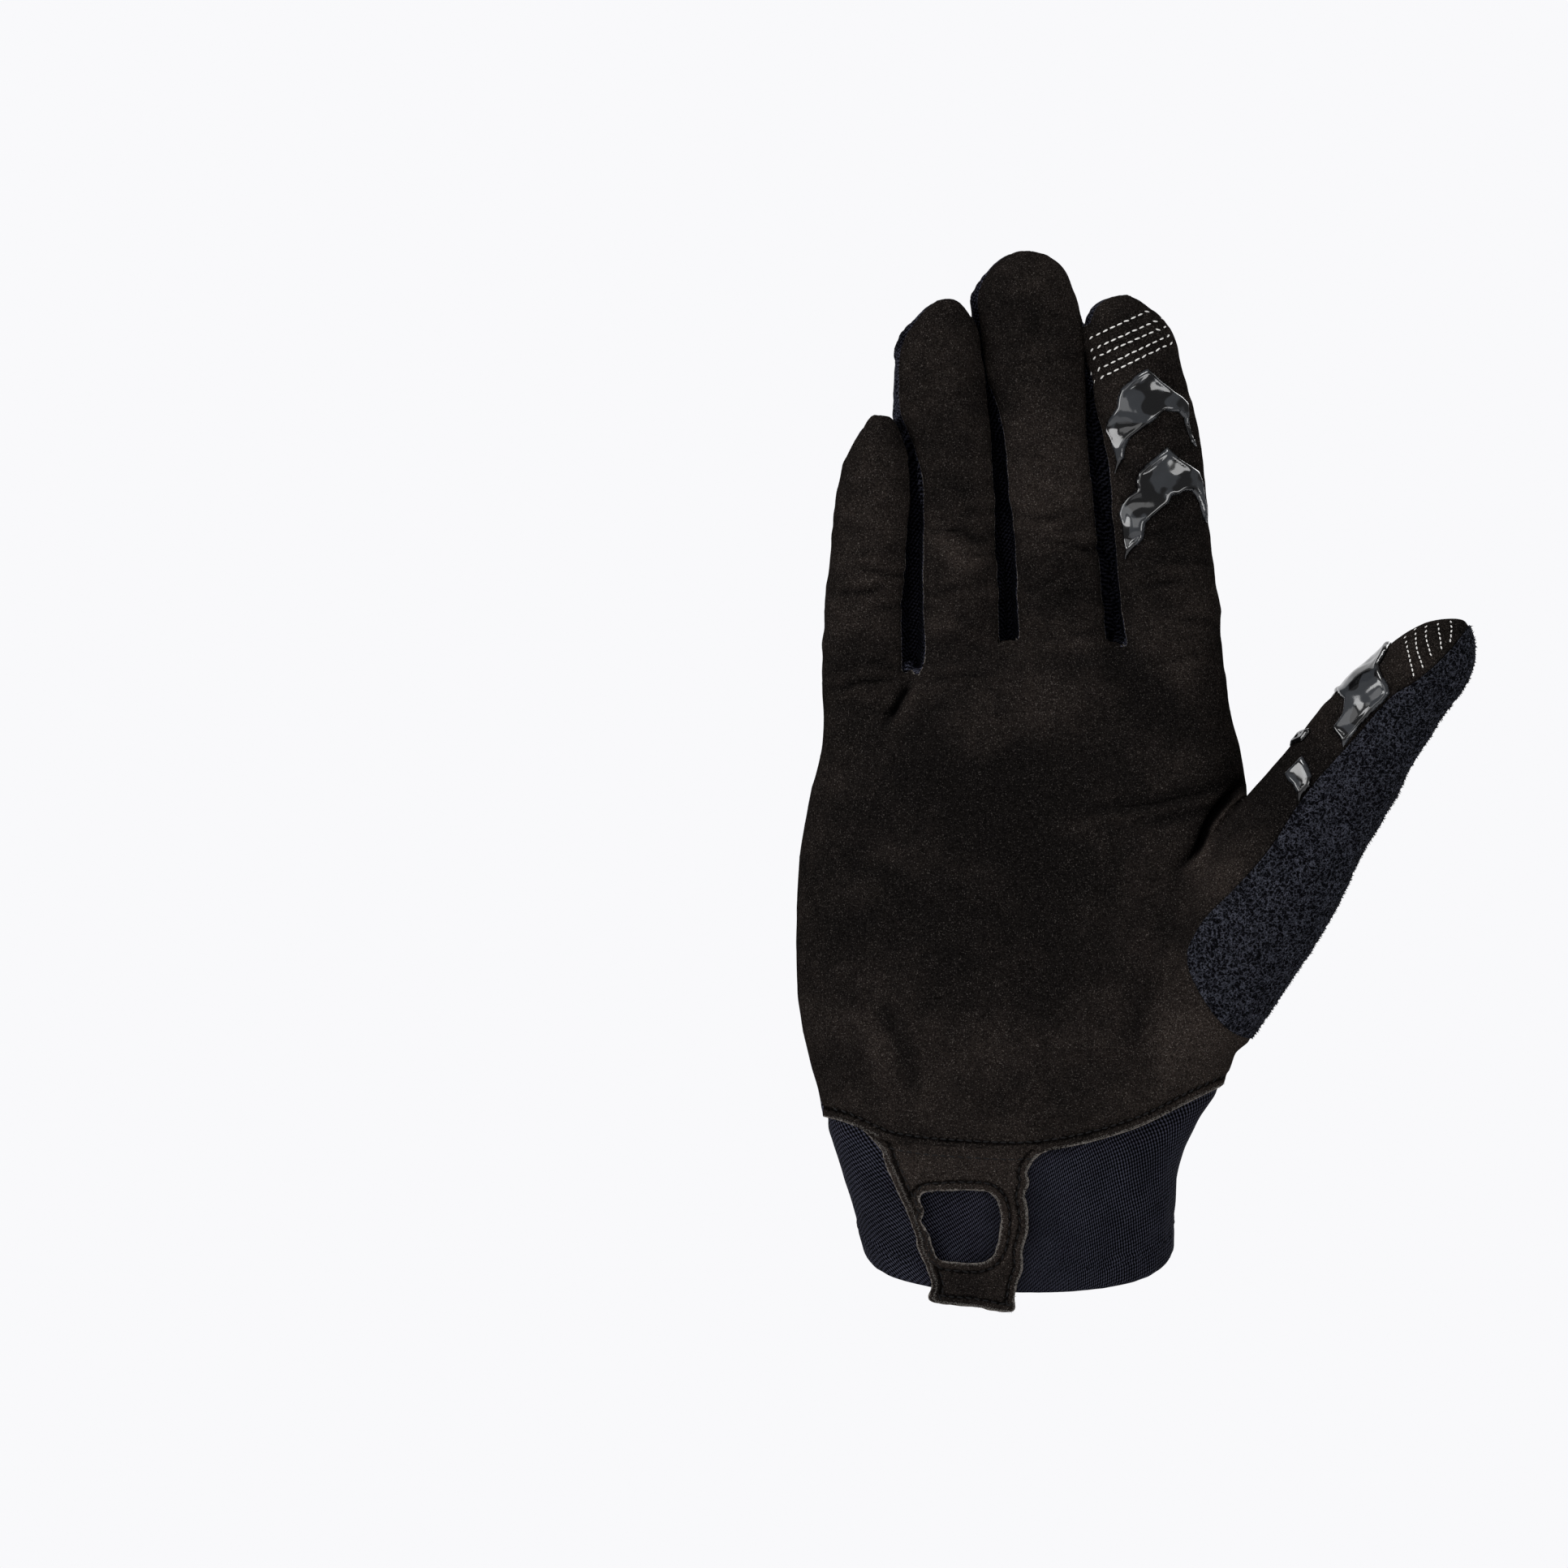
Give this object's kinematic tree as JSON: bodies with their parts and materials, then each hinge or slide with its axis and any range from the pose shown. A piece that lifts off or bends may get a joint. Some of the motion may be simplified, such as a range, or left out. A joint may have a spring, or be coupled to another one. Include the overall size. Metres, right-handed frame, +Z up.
{
  "type": "long-finger cycling glove",
  "caption": "Right-hand long-finger cycling glove in its worn shape, with a suede palm, knit back, terry thumb panel, silicone grips, elastic cuff and pull tab.",
  "frame": {"origin": "centre of the cuff's opening, where the wrist goes in", "axes": "+Z up the fingers, +X towards the thumb, the palm faces -Y"},
  "size_m": [0.1577, 0.0627, 0.2499],
  "materials": {
    "suede": "matte brown-black napped synthetic suede",
    "knit": "smooth blue-black stretch knit",
    "terry": "blue-black short-loop terry",
    "elastic": "blue-black ribbed elastic knit",
    "silicone": "glossy black printed silicone"
  },
  "bodies": {
    "root": {"palm_panel": "suede", "back_panel": "knit", "fourchette_little_ring": "knit", "fourchette_ring_middle": "knit", "fourchette_middle_index": "knit", "thumb_wipe_panel": "terry", "cuff": "elastic", "pull_tab": "suede", "index_grip_upper": "silicone", "index_grip_lower": "silicone", "thumb_grip_upper": "silicone", "thumb_grip_lower": "silicone"}
  },
  "joints": []
}
